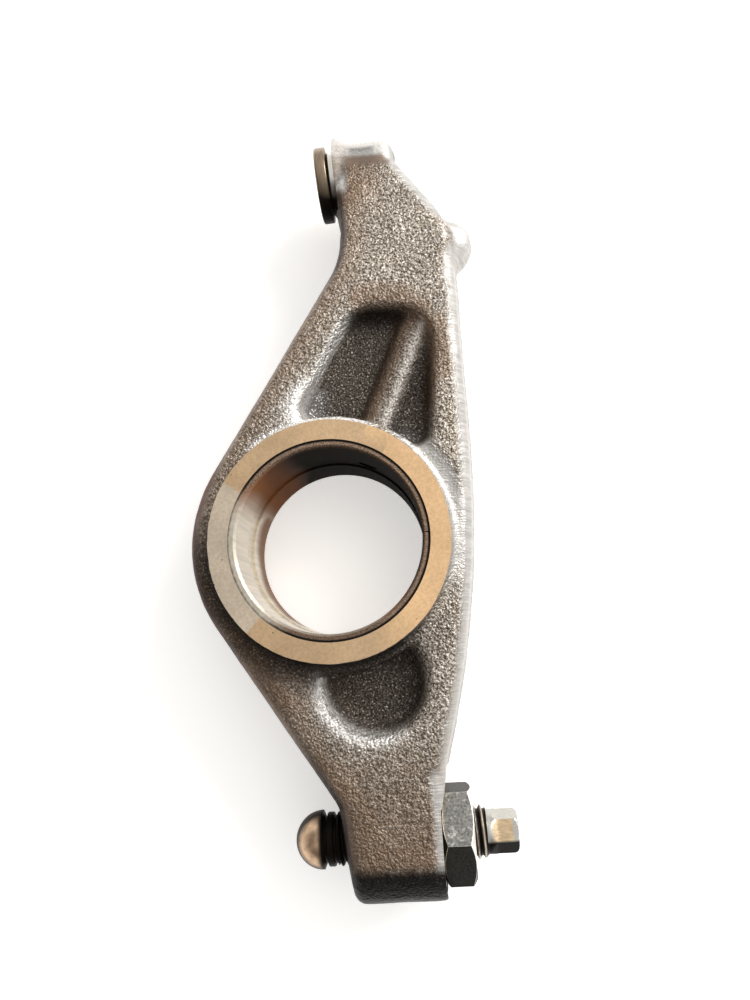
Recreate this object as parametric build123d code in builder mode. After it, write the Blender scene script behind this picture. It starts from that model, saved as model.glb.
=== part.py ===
from build123d import *
from math import atan2, cos, radians, sin, sqrt, tan
import os

# A forged rocker arm from a diesel engine's valve gear, with its bush, pad, adjusting
# screw and lock nut. Millimetres. The origin is the middle of the shaft bore and +Z is
# its axis. +X runs along the adjusting screw towards its nut, and +Y runs from the bore
# to the nose, over the valves.

# Shaft bore and hub
shaft_diameter = 36.0
bush_wall = 2.0
hub_length = 28.0
hub_face_diameter = 47.0
hub_draft = 3.0
hub_root_radius = 1.6
bush_recess = 1.0
bush_joint_gap = 0.2
bush_chamfer = 0.5
bush_groove_width = 6.0
bush_groove_depth = 0.4
hub_bore_chamfer = 0.6

# Thickness of the forging, which is the same on both sides of its parting plane
web_thickness = 20.0
nose_thickness = 16.6
nose_end_radius = 7.9
screw_end_radius = 8.0
forging_draft = 5.0
edge_radius = 2.6
taper_start_y = 54.0
taper_radius = 60.0
trim_stock = 4.0

# Outline of the forging at its parting plane
heel_radius = 29.0
flank_angle = 57.0
back_x = 29.1
back_bend_y = -11.7
back_bend_share = 0.89
shoulder_y = 65.9
shoulder_radius = 20.0
shoulder_slope = 1.49
nose_back_x = 17.7
nose_back_radius = 6.0
nose_end_y = 89.4
neck_x = 4.4
neck_radius = 18.0
screw_end_y = -68.5
screw_boss_front_x = -2.0
screw_boss_lean = 2.6
screw_boss_corner_radius = 3.0
step_radius = 8.0

# Pockets in both faces, and the rib between the two lobes of the upper one
pocket_depth = 5.2
pocket_wall_angle = 20.0
pocket_floor_radius = 2.0
pocket_rim_radius = 1.6
upper_pocket_left_x = -6.3
upper_pocket_left_y = 27.2
upper_pocket_left_radius = 3.4
upper_pocket_foot_x = -2.0
upper_pocket_foot_y = 21.5
upper_pocket_top_x = 6.5
upper_pocket_top_y = 49.4
upper_pocket_top_radius = 8.0
upper_pocket_shoulder_x = 23.9
upper_pocket_shoulder_y = 47.2
upper_pocket_shoulder_radius = 8.0
upper_pocket_tip_x = 21.4
upper_pocket_tip_y = 17.0
upper_pocket_tip_radius = 4.0
lower_pocket_x = 6.6
lower_pocket_y = -27.4
lower_pocket_radius = 10.5
rib_radius = 4.2
rib_sink = 1.3
rib_reach = 50.0
rib_root_radius = 1.8

# Oil gallery from the bore to the lug on the back of the nose
gallery_angle = 66.0
gallery_diameter = 3.0
bush_oil_hole_diameter = 4.0
lug_distance = 69.6
lug_radius = 4.6
lug_height = 5.6
lug_edge_radius = 2.4
lug_root_radius = 4.0

# Nose boss and the hardened pad pressed into it
pad_y = 81.7
pad_tilt = 3.2
pad_seat_x = 4.5
pad_diameter = 16.2
pad_head_thickness = 2.5
pad_collar_diameter = 14.2
pad_collar_thickness = 1.2
pad_groove_depth = 0.5
pad_groove_width = 0.4
pad_edge = 0.4
pad_shank_diameter = 8.0
pad_shank_length = 8.0
nose_boss_diameter = 17.8
nose_boss_depth = 5.0
nose_boss_taper = 12.0

# Adjusting screw, M10 x 1.25
screw_y = -57.1
thread_diameter = 10.0
thread_clearance = 0.05
ball_diameter = 10.9
ball_centre_x = -5.55
ball_neck_diameter = 8.6
ball_neck_width = 0.5
collar_width = 1.2
undercut_diameter = 8.8
undercut_width = 0.5
thread_end_x = 26.1
thread_end_chamfer = 0.8
drive_shank_diameter = 8.2
drive_width = 7.0
drive_length = 4.4
drive_turn = 48.0
drive_chamfer = 0.5
screw_end_x = 32.0

# Lock nut and the face milled for it
nut_seat_x = 17.6
seat_stock = 2.0
seat_diameter = 22.6
seat_cutter_angle = 42.0
nut_width = 17.0
nut_height = 6.0
nut_turn = 32.0
nut_chamfer_angle = 30.0
nut_face_margin = 0.2
nut_bore_chamfer = 0.7
screw_hole_chamfer = 0.6

# How near a selected face or edge lies to where it should be
selection_margin = 0.01

# Values that follow from the sizes above
bush_outer_radius = shaft_diameter / 2 + bush_wall
bush_length = hub_length - 2 * bush_recess
web_half = web_thickness / 2
nose_half = nose_thickness / 2
hub_half = hub_length / 2
flank_rise = tan(radians(flank_angle))
heel_corner_x = -heel_radius / sin(radians(flank_angle))
gallery_way = Vector(cos(radians(gallery_angle)), sin(radians(gallery_angle)), 0)
pocket_floor = web_half - pocket_depth
pad_way = Vector(-cos(radians(pad_tilt)), -sin(radians(pad_tilt)), 0)
pad_seat = Plane(origin=(pad_seat_x, pad_y, 0), z_dir=pad_way)
pad_seat_inward = Plane(origin=(pad_seat_x, pad_y, 0), z_dir=-pad_way)
screw_axis = Axis((0, screw_y, 0), (1, 0, 0))
screw_plane = Plane(origin=(0, screw_y, 0))
gallery_plane = Plane(origin=(0, 0, 0), z_dir=gallery_way)
nut_seat = Plane(origin=(nut_seat_x, screw_y, 0), x_dir=(0, 1, 0), z_dir=(1, 0, 0))
thread_radius = thread_diameter / 2
screw_hole_radius = thread_radius + thread_clearance
ball_radius = ball_diameter / 2
ball_tip_x = ball_centre_x - ball_radius
neck_start_x = ball_centre_x + ball_neck_width
neck_end_x = neck_start_x + ball_neck_width
collar_end_x = neck_end_x + collar_width
thread_start_x = collar_end_x + undercut_width
nut_top_x = nut_seat_x + nut_height
nut_corner_radius = nut_width / sqrt(3)
nut_corner_drop = (nut_corner_radius - nut_width / 2 + nut_face_margin) * tan(radians(nut_chamfer_angle))

# The back bends over most of the way from the nut's step to its widest point
step_x = nut_seat_x + seat_stock
step_y = screw_y + seat_diameter / 2 + seat_stock
back_lean = atan2(back_x - step_x, back_bend_y - step_y)
back_bend_reach = back_bend_share * (back_bend_y - step_y) / cos(back_lean)
back_bend_radius = back_bend_reach / tan(back_lean / 2)

# Corners of the outline, counterclockwise, each with the radius that rounds it
outline_corners = [
    ((step_x, screw_end_y - trim_stock), 0),
    ((step_x, step_y), step_radius),
    ((back_x, back_bend_y), back_bend_radius),
    ((back_x, shoulder_y), shoulder_radius),
    ((nose_back_x, shoulder_y + shoulder_slope * (back_x - nose_back_x)), nose_back_radius),
    ((nose_back_x, nose_end_y + trim_stock), 0),
    ((neck_x, nose_end_y + trim_stock), 0),
    ((neck_x, flank_rise * (neck_x - heel_corner_x)), neck_radius),
    ((heel_corner_x, 0), heel_radius),
    (
        (screw_boss_front_x, -flank_rise * (screw_boss_front_x - heel_corner_x)),
        screw_boss_corner_radius,
    ),
    ((screw_boss_front_x + screw_boss_lean, screw_end_y - trim_stock), 0),
]

# Corners of the side view, from the parting plane up
side_corners = [
    ((screw_end_y, 0), 0),
    ((screw_end_y, web_half), screw_end_radius),
    ((taper_start_y, web_half), taper_radius),
    ((nose_end_y, nose_half), nose_end_radius),
    ((nose_end_y, 0), 0),
]

# Corners of the hub's section, from the parting plane up
hub_wall_radius = hub_face_diameter / 2 + (hub_half - web_half) * tan(radians(hub_draft))
hub_corners = [
    ((0, 0), 0),
    ((hub_wall_radius + hub_root_radius, 0), 0),
    ((hub_wall_radius + hub_root_radius, web_half), 0),
    ((hub_wall_radius, web_half), hub_root_radius),
    ((hub_face_diameter / 2, hub_half), 0),
    ((0, hub_half), 0),
]

# Corners of the upper pocket at the web's face. Its foot lies under the hub.
upper_pocket_corners = [
    ((upper_pocket_tip_x, upper_pocket_tip_y), upper_pocket_tip_radius),
    ((upper_pocket_shoulder_x, upper_pocket_shoulder_y), upper_pocket_shoulder_radius),
    ((upper_pocket_top_x, upper_pocket_top_y), upper_pocket_top_radius),
    ((upper_pocket_left_x, upper_pocket_left_y), upper_pocket_left_radius),
    ((upper_pocket_foot_x, upper_pocket_foot_y), upper_pocket_tip_radius),
]

# The lug at the gallery's outer end, upper half
with BuildPart() as lug_half:
    with BuildSketch():
        with Locations(gallery_way * lug_distance):
            Circle(lug_radius)
    extrude(amount=lug_height, taper=forging_draft)
    fillet(lug_half.faces().sort_by(Axis.Z)[-1].edges(), lug_edge_radius)

# The forging above its parting plane, with its side view cut from its outline
with BuildPart() as blank_half:
    with BuildSketch():
        with BuildLine():
            FilletPolyline(
                [corner for corner, radius in outline_corners],
                radius=[radius for corner, radius in outline_corners],
                close=True,
            )
        make_face()
    extrude(amount=hub_half, taper=forging_draft)
    with BuildSketch(Plane.YZ.offset(-2 * back_x)):
        with BuildLine():
            FilletPolyline(
                [corner for corner, radius in side_corners],
                radius=[radius for corner, radius in side_corners],
                close=True,
            )
        make_face()
    extrude(amount=4 * back_x, mode=Mode.INTERSECT)
    crown = (
        blank_half.faces()
        .filter_by(lambda face: abs(face.normal_at().X) < selection_margin)
        .filter_by(lambda face: face.center().Z > selection_margin)
    )
    fillet(crown.edges().filter_by(Axis.X, reverse=True), edge_radius)

# Pockets, rib, lug and hub, still above the parting plane
with BuildPart() as forging_half:
    add(blank_half.part)
    with BuildSketch(Plane.XY.offset(web_half)):
        with BuildLine():
            FilletPolyline(
                [corner for corner, radius in upper_pocket_corners],
                radius=[radius for corner, radius in upper_pocket_corners],
                close=True,
            )
        make_face()
        with Locations((lower_pocket_x, lower_pocket_y)):
            Circle(lower_pocket_radius)
    extrude(amount=-pocket_depth, taper=pocket_wall_angle, mode=Mode.SUBTRACT)
    floors = forging_half.faces().filter_by(
        lambda face: abs(face.center().Z - pocket_floor) < selection_margin
    )
    fillet(floors.edges(), pocket_floor_radius)
    web_face = forging_half.faces().filter_by(Plane.XY).sort_by(Axis.Z)[-1]
    fillet(web_face.inner_wires().edges(), pocket_rim_radius)
    with BuildSketch(Plane(origin=(0, 0, pocket_floor - rib_sink), z_dir=gallery_way)):
        Circle(rib_radius)
    extrude(amount=rib_reach)
    rib_foot = forging_half.edges(Select.LAST).filter_by(Axis((0, 0, 0), gallery_way))
    fillet(rib_foot, rib_root_radius)
    add(lug_half.part)
    lug_root = (
        forging_half.edges(Select.LAST)
        .filter_by(GeomType.LINE, reverse=True)
        .filter_by(GeomType.CIRCLE, reverse=True)
    )
    fillet(lug_root, lug_root_radius)
    with BuildSketch(Plane.XZ):
        with BuildLine():
            FilletPolyline(
                [corner for corner, radius in hub_corners],
                radius=[radius for corner, radius in hub_corners],
                close=True,
            )
        make_face()
    revolve(axis=Axis.Z)

# The whole forging, machined: pad seat, nut face, screw hole, hub bore and oil gallery
with BuildPart() as rocker_arm:
    add(forging_half.part)
    mirror(about=Plane.XY)
    with BuildSketch(pad_seat_inward):
        Circle(nose_boss_diameter / 2)
    extrude(amount=nose_boss_depth, taper=nose_boss_taper)
    with BuildSketch(pad_seat):
        Circle(nose_boss_diameter)
    extrude(amount=2 * trim_stock, mode=Mode.SUBTRACT)
    with BuildSketch(pad_seat_inward):
        Circle(pad_shank_diameter / 2)
    extrude(amount=pad_shank_length, mode=Mode.SUBTRACT)
    with BuildSketch(nut_seat):
        Circle(seat_diameter / 2)
    extrude(amount=2 * trim_stock, taper=-seat_cutter_angle, mode=Mode.SUBTRACT)
    with BuildSketch(nut_seat):
        Circle(screw_hole_radius)
    extrude(amount=-(nut_seat_x + back_x), mode=Mode.SUBTRACT)
    screw_hole_mouths = rocker_arm.edges().filter_by(GeomType.CIRCLE).filter_by(
        lambda edge: abs(edge.radius - screw_hole_radius) < selection_margin
    )
    chamfer(screw_hole_mouths, screw_hole_chamfer)
    with BuildSketch():
        Circle(bush_outer_radius)
    extrude(amount=hub_half, both=True, mode=Mode.SUBTRACT)
    hub_circles = rocker_arm.edges().filter_by(GeomType.CIRCLE).filter_by(
        lambda edge: abs(edge.radius - bush_outer_radius) < selection_margin
    )
    chamfer(hub_circles.group_by(Axis.Z)[0] + hub_circles.group_by(Axis.Z)[-1], hub_bore_chamfer)
    with BuildSketch(gallery_plane):
        Circle(gallery_diameter / 2)
    extrude(amount=lug_distance + 2 * lug_radius, mode=Mode.SUBTRACT)

# The wrapped bush, open along its joint, with an oil groove round the middle of its bore
with BuildPart() as shaft_bush:
    with BuildSketch(Plane.XY.offset(-bush_length / 2)):
        Circle(bush_outer_radius)
        Circle(shaft_diameter / 2, mode=Mode.SUBTRACT)
    extrude(amount=bush_length)
    chamfer(shaft_bush.edges().filter_by(GeomType.CIRCLE), bush_chamfer)
    with BuildSketch(Plane.XY.offset(-bush_groove_width / 2)):
        Circle(shaft_diameter / 2 + bush_groove_depth)
        Circle(shaft_diameter / 2 - bush_groove_depth, mode=Mode.SUBTRACT)
    extrude(amount=bush_groove_width, mode=Mode.SUBTRACT)
    with BuildSketch(Plane.YZ):
        Rectangle(bush_joint_gap, hub_length)
    extrude(amount=shaft_diameter, mode=Mode.SUBTRACT)
    with BuildSketch(gallery_plane):
        Circle(bush_oil_hole_diameter / 2)
    extrude(amount=shaft_diameter, mode=Mode.SUBTRACT)

# The hardened pad: head, groove and collar, and the shank pressed into the nose
with BuildPart() as valve_pad:
    with BuildSketch(pad_seat):
        Circle(pad_collar_diameter / 2)
    extrude(amount=pad_collar_thickness)
    with BuildSketch(pad_seat.offset(pad_collar_thickness)):
        Circle(pad_collar_diameter / 2 - pad_groove_depth)
    extrude(amount=pad_groove_width)
    with BuildSketch(pad_seat.offset(pad_collar_thickness + pad_groove_width)):
        Circle(pad_diameter / 2)
    extrude(amount=pad_head_thickness)
    fillet(valve_pad.edges().filter_by(GeomType.CIRCLE).sort_by(Axis.X)[0], pad_edge)
    with BuildSketch(pad_seat_inward):
        Circle(pad_shank_diameter / 2)
    extrude(amount=pad_shank_length)

# The adjusting screw's outline, turned about its axis, with the drive hexagon milled on it
with BuildPart() as adjusting_screw:
    with BuildSketch(screw_plane):
        with BuildLine():
            ball = RadiusArc((ball_tip_x, 0), (ball_centre_x, ball_radius), ball_radius)
            Polyline(
                ball @ 1,
                (neck_start_x, ball_neck_diameter / 2),
                (neck_end_x, ball_neck_diameter / 2),
                (neck_end_x, thread_radius),
                (collar_end_x, thread_radius),
                (collar_end_x, undercut_diameter / 2),
                (thread_start_x, undercut_diameter / 2),
                (thread_start_x, thread_radius),
                (thread_end_x - thread_end_chamfer, thread_radius),
                (thread_end_x, thread_radius - thread_end_chamfer),
                (thread_end_x, drive_shank_diameter / 2),
                (screw_end_x, drive_shank_diameter / 2),
                (screw_end_x, 0),
                (ball_tip_x, 0),
            )
        make_face()
    revolve(axis=screw_axis)
    chamfer(adjusting_screw.edges().filter_by(GeomType.CIRCLE).sort_by(Axis.X)[-1], drive_chamfer)
    with BuildSketch(Plane(origin=(screw_end_x, screw_y, 0), x_dir=(0, 1, 0), z_dir=(1, 0, 0))):
        Circle(drive_shank_diameter)
        RegularPolygon(drive_width / 2, 6, major_radius=False, rotation=drive_turn, mode=Mode.SUBTRACT)
    extrude(amount=-drive_length, mode=Mode.SUBTRACT)

# The lock nut: a hexagon with its outer corners chamfered to a cone
with BuildPart() as lock_nut:
    with BuildSketch(nut_seat):
        RegularPolygon(nut_width / 2, 6, major_radius=False, rotation=nut_turn)
    extrude(amount=nut_height)
    with BuildSketch(screw_plane):
        with BuildLine():
            Polyline(
                (nut_seat_x, 0),
                (nut_seat_x, nut_corner_radius),
                (nut_top_x - nut_corner_drop, nut_corner_radius),
                (nut_top_x, nut_width / 2 - nut_face_margin),
                (nut_top_x, 0),
                close=True,
            )
        make_face()
    revolve(axis=screw_axis, mode=Mode.INTERSECT)
    with BuildSketch(nut_seat):
        Circle(screw_hole_radius)
    extrude(amount=nut_height, mode=Mode.SUBTRACT)
    nut_mouths = lock_nut.edges().filter_by(GeomType.CIRCLE).filter_by(
        lambda edge: abs(edge.radius - screw_hole_radius) < selection_margin
    )
    chamfer(nut_mouths, nut_bore_chamfer)

os.makedirs("parts", exist_ok=True)

rocker_arm.part.label = "rocker_arm"
export_step(rocker_arm.part, "parts/rocker_arm.step")

shaft_bush.part.label = "shaft_bush"
export_step(shaft_bush.part, "parts/shaft_bush.step")

valve_pad.part.label = "valve_pad"
export_step(valve_pad.part, "parts/valve_pad.step")

adjusting_screw.part.label = "adjusting_screw"
export_step(adjusting_screw.part, "parts/adjusting_screw.step")

lock_nut.part.label = "lock_nut"
export_step(lock_nut.part, "parts/lock_nut.step")
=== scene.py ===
from math import cos, pi, radians, sin, tan

import bmesh
import bpy
import numpy as np
from mathutils import Euler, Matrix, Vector, noise
from mathutils.kdtree import KDTree


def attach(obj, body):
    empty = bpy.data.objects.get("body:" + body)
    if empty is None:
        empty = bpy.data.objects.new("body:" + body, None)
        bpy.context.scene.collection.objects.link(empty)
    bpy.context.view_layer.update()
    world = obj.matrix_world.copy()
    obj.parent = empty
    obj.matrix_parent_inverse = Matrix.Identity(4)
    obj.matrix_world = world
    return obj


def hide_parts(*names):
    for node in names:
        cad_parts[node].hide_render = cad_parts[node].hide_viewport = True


bl_info = {
    "name": "Rocker arm",
    "version": (1, 0, 0),
    "blender": (4, 5, 0),
    "location": "View3D > Sidebar > Rocker arm",
    "description": "Forging, bush, pad, adjusting screw and lock nut of a diesel rocker arm",
    "category": "Object",
}

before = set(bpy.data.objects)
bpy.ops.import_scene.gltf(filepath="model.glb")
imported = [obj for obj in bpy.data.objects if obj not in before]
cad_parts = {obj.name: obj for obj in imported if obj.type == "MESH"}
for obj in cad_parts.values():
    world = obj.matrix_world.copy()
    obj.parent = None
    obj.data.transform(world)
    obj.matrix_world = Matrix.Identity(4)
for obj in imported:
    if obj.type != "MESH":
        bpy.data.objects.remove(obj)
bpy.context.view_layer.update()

MM = 0.001


# Colours and nodes


def linear(hex_colour):
    """An sRGB hex colour as Blender's linear red, green and blue."""
    channels = [int(hex_colour[i:i + 2], 16) / 255 for i in (0, 2, 4)]
    return [c / 12.92 if c <= 0.04045 else ((c + 0.055) / 1.055) ** 2.4 for c in channels]


def wire(tree, node, inputs):
    """Links or sets each input that is named."""
    for key, value in inputs.items():
        if isinstance(value, bpy.types.NodeSocket):
            tree.links.new(value, node.inputs[key])
        else:
            node.inputs[key].default_value = value


def add_node(tree, kind, inputs=None, out=0, **settings):
    """Adds a node with its settings and inputs, and gives back the output that is named."""
    node = tree.nodes.new("ShaderNode" + kind)
    for name, value in settings.items():
        setattr(node, name, value)
    wire(tree, node, inputs or {})
    return node.outputs[out]


def start_material(name):
    """A new material, its node tree and its shader."""
    material = bpy.data.materials.new(name)
    material.use_nodes = True
    tree = material.node_tree
    return material, tree, tree.nodes["Principled BSDF"]


def seen_or_mirrored(tree):
    """1 where a ray comes from the camera, a mirror or glass, and 0 where it gathers light."""
    seen = add_node(tree, "LightPath", out="Is Camera Ray")
    for ray in ("Is Glossy Ray", "Is Transmission Ray"):
        other = add_node(tree, "LightPath", out=ray)
        seen = add_node(tree, "Math", {0: seen, 1: other}, operation="MAXIMUM")
    return seen


def colour_property(name, description, hex_colour):
    """A colour that the user can pick, with its default given as sRGB hex."""
    return bpy.props.FloatVectorProperty(
        name=name, description=description, subtype="COLOR", size=4, min=0, max=1,
        default=(*linear(hex_colour), 1),
    )


def length_property(name, description, millimetres):
    """A length that the user can set, with its default given in millimetres."""
    return bpy.props.FloatProperty(
        name=name, description=description, unit="LENGTH", precision=5, min=0,
        default=millimetres * MM,
    )


class ForgingSettings(bpy.types.PropertyGroup):
    grain: length_property("Grain", "Width of one pit of the shot-blasted skin", 0.44)
    waviness: length_property("Waviness", "How far the forged skin strays from its die", 0.12)
    flash: length_property("Flash", "Height of the trimmed flash along the parting line", 0.3)
    mesh_size: length_property("Mesh size", "Edge of one face of the forging's mesh", 0.5)
    scale: colour_property("Scale", "Blasted forging scale", "baafa1")
    pits: colour_property("Pits", "Scale left in the pits", "584d42")
    # Also painted shade beside the hub and a painted reflection under the nose's top
    brown: colour_property("Brown scale", "Warmer scale at the ends and round the hub", "80664f")
    # Also painted shade under the hub, along the lower left edge and on the nose's end, and it darkens the
    # pocket floors
    dirt_and_shade: colour_property("Dirt", "Old oil in the pockets and corners", "241c16")
    # Also the colour of the painted highlight on the back rim, the lug and the hub's foot on the right
    trimmed: colour_property("Trimmed flank", "Bare steel where the flash was ground off", "b7b4af")
    smooth: colour_property("Smooth edges", "Rounded edges, rubbed smooth", "a6a29c")
    # Also painted shade: it darkens the rim on the side facing away from the window
    varnish_and_shade: colour_property("Oil varnish", "Burnt oil on the flank away from the nut", "5c3a2b")
    # Also painted shadow under the hub and painted shade on the flank facing away from the window
    soot_and_shadow: colour_property("Black oil", "Thick black oil under the screw's end", "120f0c")
    # Painted highlight: the walls, rims, boss, lug and corners that face the window get it, and the grain's
    # peaks get it as painted glints
    silver: colour_property("Painted highlight", "Painted highlight on the walls, rims and bosses that face the window", "f6f3ee")
    ground: colour_property("Ground face", "Ground hub faces", "d4b48e")
    ground_warm: colour_property("Oily face", "The part of the ground face with an oil tint", "efc798")
    ground_pale: colour_property("Cleaned face", "The part of the ground face wiped clean", "dbcab3")


class BushSettings(bpy.types.PropertyGroup):
    bore: colour_property("Bore", "Burnished running surface", "e0d6c4")
    # The oiled and burnt colours also stand for painted shade and reflection in the bore, away from its lit
    # left side
    oiled: colour_property("Oiled bore", "Running surface browned by old oil", "8c5830")
    burnt_and_shade: colour_property("Burnt oil", "Black oil baked on the bore", "17110d")
    ends: colour_property("Ends", "Turned ends of the bush", "8a7462")
    gap: colour_property("Gap", "Black oil in the gap round the bush", "14110f")


class PadSettings(bpy.types.PropertyGroup):
    steel: colour_property("Pad steel", "Hardened and ground steel", "8c7b67")
    collar: colour_property("Collar", "Turned collar, rubbed bright", "d9d4ca")
    # Low on the pad this is painted shade
    oil: colour_property("Oiled steel", "Black oil low on the pad and in its groove", "1d1916")


class ScrewSettings(bpy.types.PropertyGroup):
    pitch: length_property("Pitch", "Pitch of the M10 fine thread", 1.25)
    thread: colour_property("Thread", "Crests of the hardened thread", "b5aa9b")
    # Also painted shade under the drive hexagon and round the ball's rim
    oil: colour_property("Oil", "Black oil in the thread and round the neck", "181411")
    ball: colour_property("Ball", "Burnished ball, heat-tinted", "cdae90")
    drive: colour_property("Drive end", "Bright drive hexagon", "b6b3ac")
    # A painted warm reflection on the flat of the drive that faces up
    tint: colour_property("Warm-reflecting flat", "Flat of the drive hexagon, painted with a warm reflection", "c6ae8d")


class NutSettings(bpy.types.PropertyGroup):
    # Also painted shade on the nut's facets away from the light
    oxide: colour_property("Black oxide", "Black oxide finish", "24231f")
    rubbed: colour_property("Rubbed oxide", "Black oxide rubbed through to the steel", "7f7d78")
    worn: colour_property("Worn edges", "Bare steel on the nut's worn edges", "e4e1da")
    edge: length_property("Edge", "Width of the nut's worn edges", 0.48)


class StageSettings(bpy.types.PropertyGroup):
    floor: colour_property("Floor", "Pale floor", "f4f3f1")
    key_power: bpy.props.FloatProperty(
        name="Key light", description="Power of the window light", unit="POWER", default=3.5,
    )
    key_size: length_property("Key size", "Width of the window light", 340)
    shade: colour_property("Room shade", "Colour of the room's dark side", "6f5a4b")


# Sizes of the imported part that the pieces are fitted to, in millimetres

HUB_HALF = 14.0
HUB_BORE_RADIUS = 20.0
HUB_BORE_CHAMFER = 0.6
HUB_BORE_LIP = 19.55
HUB_LIP_DEPTH = 0.12
FACING_STOCK = 0.6
PAD_SEAT = Vector((4.5, 81.7, 0.0))
PAD_WAY = Vector((-cos(radians(3.2)), -sin(radians(3.2)), 0.0))
PAD_SEAT_RADIUS = 13.0
SCREW_Y = -57.1
SCREW_HOLE_RADIUS = 5.05
NUT_SEAT_X = 17.6
NUT_SEAT_RADIUS = 11.3
NUT_SEAT_CUTTER = radians(42)
NUT_WIDTH = 17.0
NUT_HEIGHT = 6.0
NUT_TURN = radians(32)
DRIVE_TURN = radians(48)
LOWER_POCKET = np.array([6.6, -27.4])
LOWER_POCKET_RADIUS = 10.5
GALLERY_WAY = Vector((cos(radians(66)), sin(radians(66)), 0.0))
WEB_HALF = 10.0
FLOOR_Z = -14.0

# The screw: places along it, and the radii of its neck, in millimetres
BALL_X = -5.55
BALL_RADIUS = 5.45
NECK = (
    (-5.05, 4.3), (-4.56, 4.3), (-4.55, 4.9), (-4.4, 5.0),
    (-3.5, 5.0), (-3.35, 4.9), (-3.34, 4.4), (-2.86, 4.4),
)
THREAD_START = -2.85
THREAD_END = 26.1
THREAD_RADIUS = 5.0
DRIVE_START = 27.9
DRIVE_ROUNDING = 30.9

# Finishes of the forging's faces, in the order of its materials
FORGED, GROUND, DRILLED, MILLED, OILY_BORE = range(5)

# Marks of this one arm, places that its wear and oil follow, and places of painted highlights, in millimetres
BURR = np.array([4.9, 89.4, 1.4])
BURR_SIZE = (1.3, 1.9, 1.6)
PIT = np.array([14.1, 65.5, 9.9])
LUG = np.array(GALLERY_WAY) * 69.6
BOSS_HIGHLIGHT = (6.4, 76.6)
UPPER_POCKET_HIGHLIGHTS = (((-4.2, 26.2), 3.6), ((-3.2, 30.4), 2.6))
FAR_RIM = np.array([(9, 49.8), (13, 50), (17, 49), (20.5, 46.5), (23, 42.5), (24, 38), (24, 34)])


# Mesh helpers


def mesh_from(name, points, faces):
    """A mesh from points in millimetres, with its faces turned outward."""
    made = bmesh.new()
    corners = [made.verts.new(Vector(p) * MM) for p in points]
    for face in faces:
        made.faces.new([corners[i] for i in face])
    bmesh.ops.recalc_face_normals(made, faces=made.faces)
    mesh = bpy.data.meshes.new(name)
    made.to_mesh(mesh)
    made.free()
    return mesh


def place_piece(name, mesh, body):
    """Links a new piece and rides it on its body."""
    piece = bpy.data.objects.new(name, mesh)
    bpy.context.scene.collection.objects.link(piece)
    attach(piece, body)
    return piece


def turned(profile, origin, along, sides, start=0.0):
    """Points and faces of a solid turned about a line, from (distance along it, radius)."""
    along = Vector(along).normalized()
    across = Vector((0, 1, 0)) if abs(along.y) < 0.5 else Vector((1, 0, 0))
    across = (across - along * across.dot(along)).normalized()
    other = along.cross(across)
    points = []
    for distance, radius in profile:
        middle = Vector(origin) + along * distance
        for i in range(sides):
            turn = start + 2 * pi * i / sides
            points.append(middle + (across * cos(turn) + other * sin(turn)) * radius)
    return points, tube_faces(len(profile), sides)


def tube_faces(rings, sides):
    """Faces of a closed tube of rings, capped at both ends."""
    faces = [list(range(sides))[::-1]]
    for ring in range(rings - 1):
        start = ring * sides
        for i in range(sides):
            j = (i + 1) % sides
            faces.append([start + i, start + j, start + sides + j, start + sides + i])
    last = (rings - 1) * sides
    faces.append([last + i for i in range(sides)])
    return faces


def applied(piece):
    """The piece's mesh with its modifiers applied."""
    depsgraph = bpy.context.evaluated_depsgraph_get()
    return bpy.data.meshes.new_from_object(piece.evaluated_get(depsgraph))


def cut_away(piece, cutters):
    """Cuts the closed solids from the piece, one after another."""
    for points, faces in cutters:
        cutter = bpy.data.objects.new("cutter", mesh_from("cutter", points, faces))
        bpy.context.scene.collection.objects.link(cutter)
        cut = piece.modifiers.new("machined", "BOOLEAN")
        cut.operation = "DIFFERENCE"
        cut.solver = "MANIFOLD"
        cut.object = cutter
        old = piece.data
        piece.data = applied(piece)
        piece.modifiers.clear()
        bpy.data.meshes.remove(old)
        cutter_mesh = cutter.data
        bpy.data.objects.remove(cutter)
        bpy.data.meshes.remove(cutter_mesh)


def points_of(mesh):
    """The mesh's points in millimetres."""
    flat = np.empty(len(mesh.vertices) * 3, np.float32)
    mesh.vertices.foreach_get("co", flat)
    return flat.reshape(-1, 3).astype(float) / MM


def normals_of(mesh):
    """The mesh's point normals."""
    flat = np.empty(len(mesh.vertices) * 3, np.float32)
    mesh.vertex_normals.foreach_get("vector", flat)
    return flat.reshape(-1, 3).astype(float)


def set_points(mesh, points):
    """Moves the mesh's points to these places, in millimetres."""
    mesh.vertices.foreach_set("co", (points * MM).astype(np.float32).ravel())
    mesh.update()


def store(mesh, name, values):
    """Keeps one number a point on the mesh, for its material."""
    attribute = mesh.attributes.new(name, "FLOAT", "POINT")
    attribute.data.foreach_set("value", np.clip(values, 0, 1).astype(np.float32))


def ramp(values, low, high):
    """0 below low, 1 above high, smooth between."""
    t = np.clip((values - low) / (high - low), 0, 1)
    return t * t * (3 - 2 * t)


def fall(values, low, high):
    """1 below low, 0 above high, smooth between."""
    return 1 - ramp(values, low, high)


def nearness(points, place, reach):
    """1 at the place, falling away smoothly over that many millimetres."""
    return np.exp(-np.sum(((points - place) / reach) ** 2, axis=1))


def rough(points, width, seed=0.0):
    """Smooth random numbers from about -1 to 1, with bumps that many millimetres wide."""
    shift = Vector((seed * 17.3, seed * 9.1, seed * 5.7))
    return np.array([noise.noise(Vector(p) / width + shift) for p in points])


# Forging


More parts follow.
